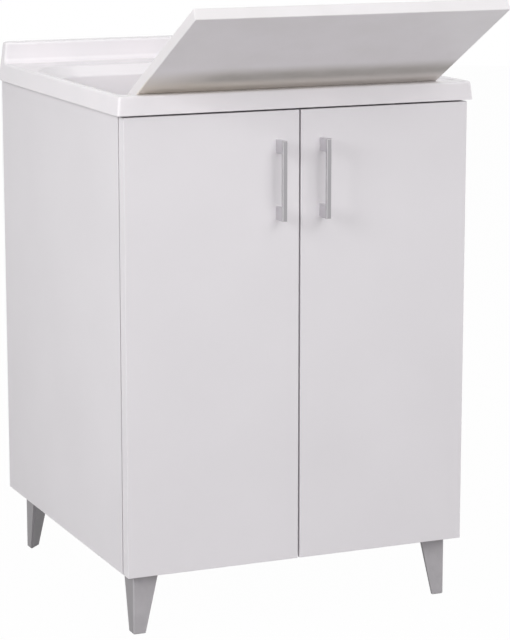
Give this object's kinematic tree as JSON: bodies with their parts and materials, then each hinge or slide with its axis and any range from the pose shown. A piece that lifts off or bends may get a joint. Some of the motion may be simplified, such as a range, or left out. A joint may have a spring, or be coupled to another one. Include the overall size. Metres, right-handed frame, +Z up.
{
  "type": "utility laundry sink",
  "caption": "Floor-standing laundry sink: moulded basin with upstand on a two-door cabinet with corner legs, washboard leaning over the front rim",
  "frame": {"origin": "on the floor, under the middle of the basin's rim", "axes": "+Z up, +Y towards the wall behind the sink, +X to the right seen from the front"},
  "size_m": [0.6, 0.8125, 0.9939],
  "materials": {
    "basin_plastic": "smooth glossy moulded white",
    "board_plastic": "smooth glossy moulded white",
    "clear_rubber": "soft clear bumper",
    "white_lacquer": "smooth semi-gloss white lacquer on fibreboard",
    "white_melamine": "white melamine on chipboard",
    "beech": "plain turned beech",
    "zinc_steel": "zinc plated steel",
    "cast_zinc": "raw die-cast zinc",
    "satin_nickel": "satin metal",
    "nickel_steel": "nickel plated pressed steel",
    "leg_grey": "silver-grey moulded plastic",
    "bright_steel": "polished stainless steel",
    "chromed_plastic": "chromed",
    "seal_rubber": "black rubber seal",
    "plug_rubber": "black rubber",
    "hose_grey": "flexible grey plastic",
    "pipe_plastic": "white waste plastic"
  },
  "bodies": {
    "cabinet": {"basin": "basin_plastic", "bottom_panel": "white_melamine", "cam_bolts": "zinc_steel", "cam_locks": "cast_zinc", "carcass_dowels": "beech", "dip_tube": "pipe_plastic", "front_rail": "white_melamine", "hinge_arm_screws": "zinc_steel", "hinge_arms_left": "nickel_steel", "hinge_arms_right": "nickel_steel", "hinge_plate_screws": "zinc_steel", "hinge_plates_left": "nickel_steel", "hinge_plates_right": "nickel_steel", "leg_bolts": "zinc_steel", "leg_front_left": "leg_grey", "leg_front_right": "leg_grey", "leg_rear_left": "leg_grey", "leg_rear_right": "leg_grey", "outlet_nut": "pipe_plastic", "outlet_pipe": "pipe_plastic", "overflow_grille": "chromed_plastic", "overflow_hose": "hose_grey", "overflow_housing": "pipe_plastic", "overflow_screw": "bright_steel", "rear_rail_lower": "white_melamine", "rear_rail_upper": "white_melamine", "side_panel_left": "white_melamine", "side_panel_right": "white_melamine", "strainer": "bright_steel", "strainer_screw": "bright_steel", "trap_body": "pipe_plastic", "trap_cup": "pipe_plastic", "trap_inlet_nut": "pipe_plastic", "waste_body": "pipe_plastic", "waste_gasket": "seal_rubber"},
    "door_left": {"door_left": "white_lacquer", "handle_posts_left": "satin_nickel", "handle_bar_left": "satin_nickel", "handle_screws_left": "zinc_steel", "door_bumpers_left": "clear_rubber", "hinge_cups_left": "nickel_steel", "cup_screws_left": "zinc_steel"},
    "door_right": {"door_right": "white_lacquer", "handle_posts_right": "satin_nickel", "handle_bar_right": "satin_nickel", "handle_screws_right": "zinc_steel", "door_bumpers_right": "clear_rubber", "hinge_cups_right": "nickel_steel", "cup_screws_right": "zinc_steel"},
    "washboard": {"washboard": "board_plastic"},
    "plug": {"plug": "plug_rubber", "plug_knob": "bright_steel"}
  },
  "joints": [
    {"name": "door_left_hinge", "type": "hinge", "parent": "cabinet", "child": "door_left", "pos_m": [-0.2815, -0.284, 0.425], "axis": [0, 0, -1], "range_deg": [0, 105]},
    {"name": "door_right_hinge", "type": "hinge", "parent": "cabinet", "child": "door_right", "pos_m": [0.2815, -0.284, 0.425], "axis": [0, 0, 1], "range_deg": [0, 105]},
    {"name": "washboard_slide", "type": "slide", "parent": "cabinet", "child": "washboard", "axis": [0, -0.8788, 0.4772], "range_m": [0, 0.33]},
    {"name": "plug_lift", "type": "slide", "parent": "cabinet", "child": "plug", "axis": [0, 0, 1], "range_m": [0, 0.055]}
  ]
}
